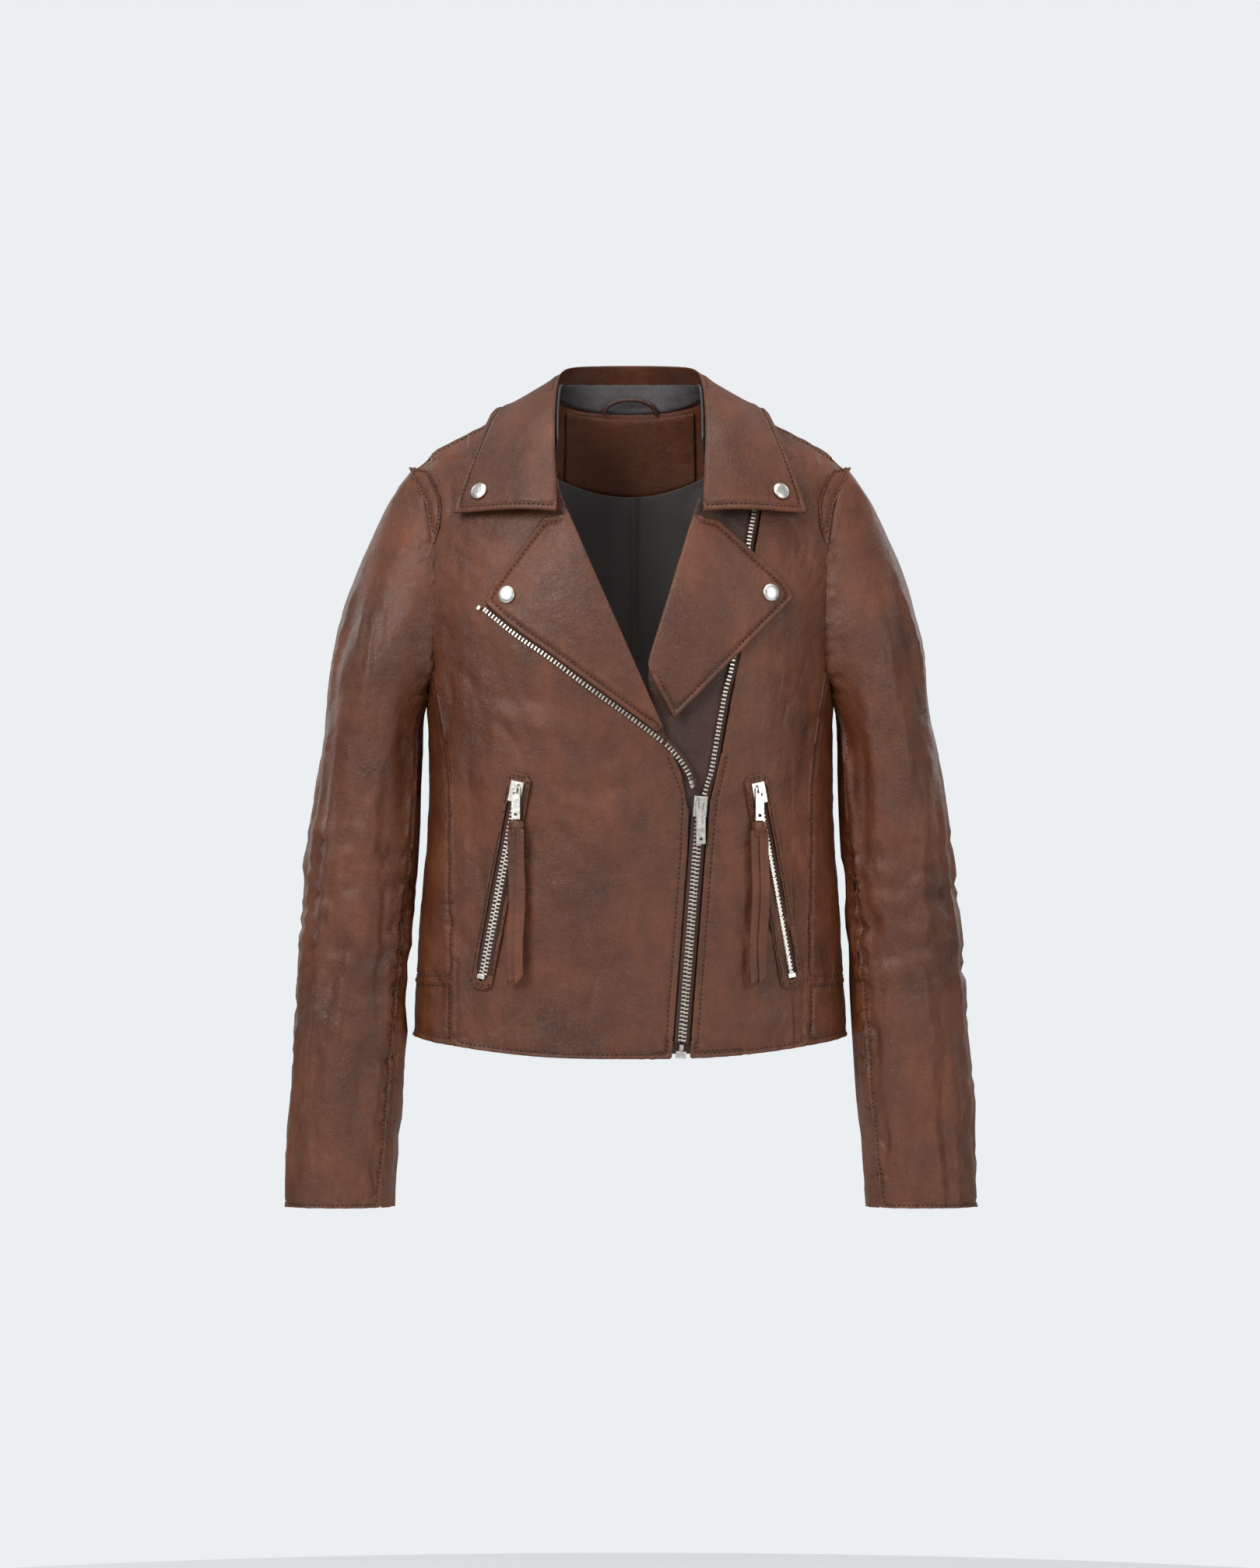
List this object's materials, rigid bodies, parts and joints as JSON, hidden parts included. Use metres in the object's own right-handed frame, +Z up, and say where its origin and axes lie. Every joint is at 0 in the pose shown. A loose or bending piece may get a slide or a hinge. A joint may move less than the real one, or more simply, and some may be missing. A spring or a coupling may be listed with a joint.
{
  "type": "leather riding jacket",
  "caption": "Cropped asymmetric-zip leather riding jacket with folded lapels, snap collar, slanted zip pockets with leather tassels and hanging sleeves, held up by its neck loop.",
  "frame": {"origin": "inside the neck hanger loop, where a hook carries the jacket", "axes": "+Z up, the front faces -Y, the wearer's right arm is at -X"},
  "size_m": [0.58, 0.2033, 0.7056],
  "materials": {
    "nappa_leather": "semi-gloss grained brown",
    "charcoal_leather": "matt dark grey",
    "lining_satin": "dark grey satin",
    "zip_tape": "brown woven tape with metal teeth",
    "nickel": "satin nickel plated"
  },
  "bodies": {
    "jacket": {"front_panel_right": "nappa_leather", "side_panel_right": "nappa_leather", "hem_band_right": "nappa_leather", "shoulder_strip_right": "nappa_leather", "lining_front_right": "lining_satin", "pocket_bag_right": "lining_satin", "pocket_welt_right": "nappa_leather", "pocket_zip_right": "zip_tape", "pocket_stop_right": "nickel", "snap_cap_collar_right": "nickel", "snap_stud_collar_right": "nickel", "snap_stud_lapel_right": "nickel", "front_panel_left": "nappa_leather", "side_panel_left": "nappa_leather", "hem_band_left": "nappa_leather", "shoulder_strip_left": "nappa_leather", "lining_front_left": "lining_satin", "pocket_bag_left": "lining_satin", "pocket_welt_left": "nappa_leather", "pocket_zip_left": "zip_tape", "pocket_stop_left": "nickel", "snap_cap_collar_left": "nickel", "snap_stud_collar_left": "nickel", "snap_stud_lapel_left": "nickel", "zip_stop_left": "nickel", "back_panel": "nappa_leather", "collar_leaf": "nappa_leather", "back_neck_facing": "nappa_leather", "hanger_loop": "nappa_leather", "zip_guard": "nappa_leather", "collar_stand": "charcoal_leather", "lining_back": "lining_satin", "main_zip_turn": "zip_tape", "main_zip_right": "zip_tape", "main_zip_left": "zip_tape", "zip_pin": "nickel", "zip_box": "nickel"},
    "main_slider": {"main_slider": "nickel"},
    "main_pull": {"main_pull": "nickel"},
    "lapel_right": {"lapel_right": "nappa_leather", "main_zip_lapel": "zip_tape", "zip_stop_right": "nickel", "snap_cap_lapel_right": "nickel"},
    "lapel_left": {"lapel_left": "nappa_leather", "snap_cap_lapel_left": "nickel"},
    "sleeve_right": {"sleeve_upper_right": "nappa_leather", "sleeve_under_right": "nappa_leather", "sleeve_lining_right": "lining_satin"},
    "pocket_slider_right": {"pocket_slider_right": "nickel"},
    "pocket_pull_right": {"pocket_pull_right": "nickel"},
    "pocket_tassel_right": {"pocket_tassel_right": "nappa_leather"},
    "sleeve_left": {"sleeve_upper_left": "nappa_leather", "sleeve_under_left": "nappa_leather", "sleeve_lining_left": "lining_satin"},
    "pocket_slider_left": {"pocket_slider_left": "nickel"},
    "pocket_pull_left": {"pocket_pull_left": "nickel"},
    "pocket_tassel_left": {"pocket_tassel_left": "nappa_leather"}
  },
  "joints": [
    {"name": "main_slider_travel", "type": "slide", "parent": "jacket", "child": "main_slider", "axis": [-0.0763, 0.0271, -0.9967], "range_m": [0, 0.183]},
    {"name": "main_pull_swing", "type": "hinge", "parent": "main_slider", "child": "main_pull", "pos_m": [0.05825, -0.14098, -0.33662], "axis": [-0.9924, -0.123, 0], "range_deg": [0, 150]},
    {"name": "pocket_slider_travel_right", "type": "slide", "parent": "jacket", "child": "pocket_slider_right", "axis": [-0.188, 0.082, -0.9787], "range_m": [0, 0.138]},
    {"name": "pocket_pull_swing_right", "type": "hinge", "parent": "pocket_slider_right", "child": "pocket_pull_right", "pos_m": [-0.09381, -0.13834, -0.32454], "axis": [-0.9515, 0.3077, 0], "range_deg": [0, 90]},
    {"name": "pocket_tassel_swing_right", "type": "hinge", "parent": "pocket_pull_right", "child": "pocket_tassel_right", "pos_m": [-0.09381, -0.13834, -0.34874], "axis": [-0.9515, 0.3077, 0], "range_deg": [0, 40]},
    {"name": "pocket_slider_travel_left", "type": "slide", "parent": "jacket", "child": "pocket_slider_left", "axis": [0.1785, 0.087, -0.9801], "range_m": [0, 0.138]},
    {"name": "pocket_pull_swing_left", "type": "hinge", "parent": "pocket_slider_left", "child": "pocket_pull_left", "pos_m": [0.10669, -0.1344, -0.3255], "axis": [-0.9275, -0.3739, 0], "range_deg": [0, 90]},
    {"name": "pocket_tassel_swing_left", "type": "hinge", "parent": "pocket_pull_left", "child": "pocket_tassel_left", "pos_m": [0.10669, -0.1344, -0.3497], "axis": [-0.9275, -0.3739, 0], "range_deg": [0, 40]},
    {"name": "lapel_right_open", "type": "hinge", "parent": "jacket", "child": "lapel_right", "pos_m": [-0.0585, -0.12036, -0.079], "axis": [-0.3991, 0.1112, 0.9102], "range_deg": [0, 30]},
    {"name": "lapel_left_open", "type": "hinge", "parent": "jacket", "child": "lapel_left", "pos_m": [0.059, -0.11854, -0.074], "axis": [-0.2858, -0.1741, -0.9423], "range_deg": [0, 24]},
    {"name": "sleeve_right_raise", "type": "hinge", "parent": "jacket", "child": "sleeve_right", "pos_m": [-0.188, -0.0437, -0.055], "axis": [0, 1, 0], "range_deg": [0, 50]},
    {"name": "sleeve_left_raise", "type": "hinge", "parent": "jacket", "child": "sleeve_left", "pos_m": [0.188, -0.0437, -0.055], "axis": [0, -1, 0], "range_deg": [0, 50]}
  ]
}
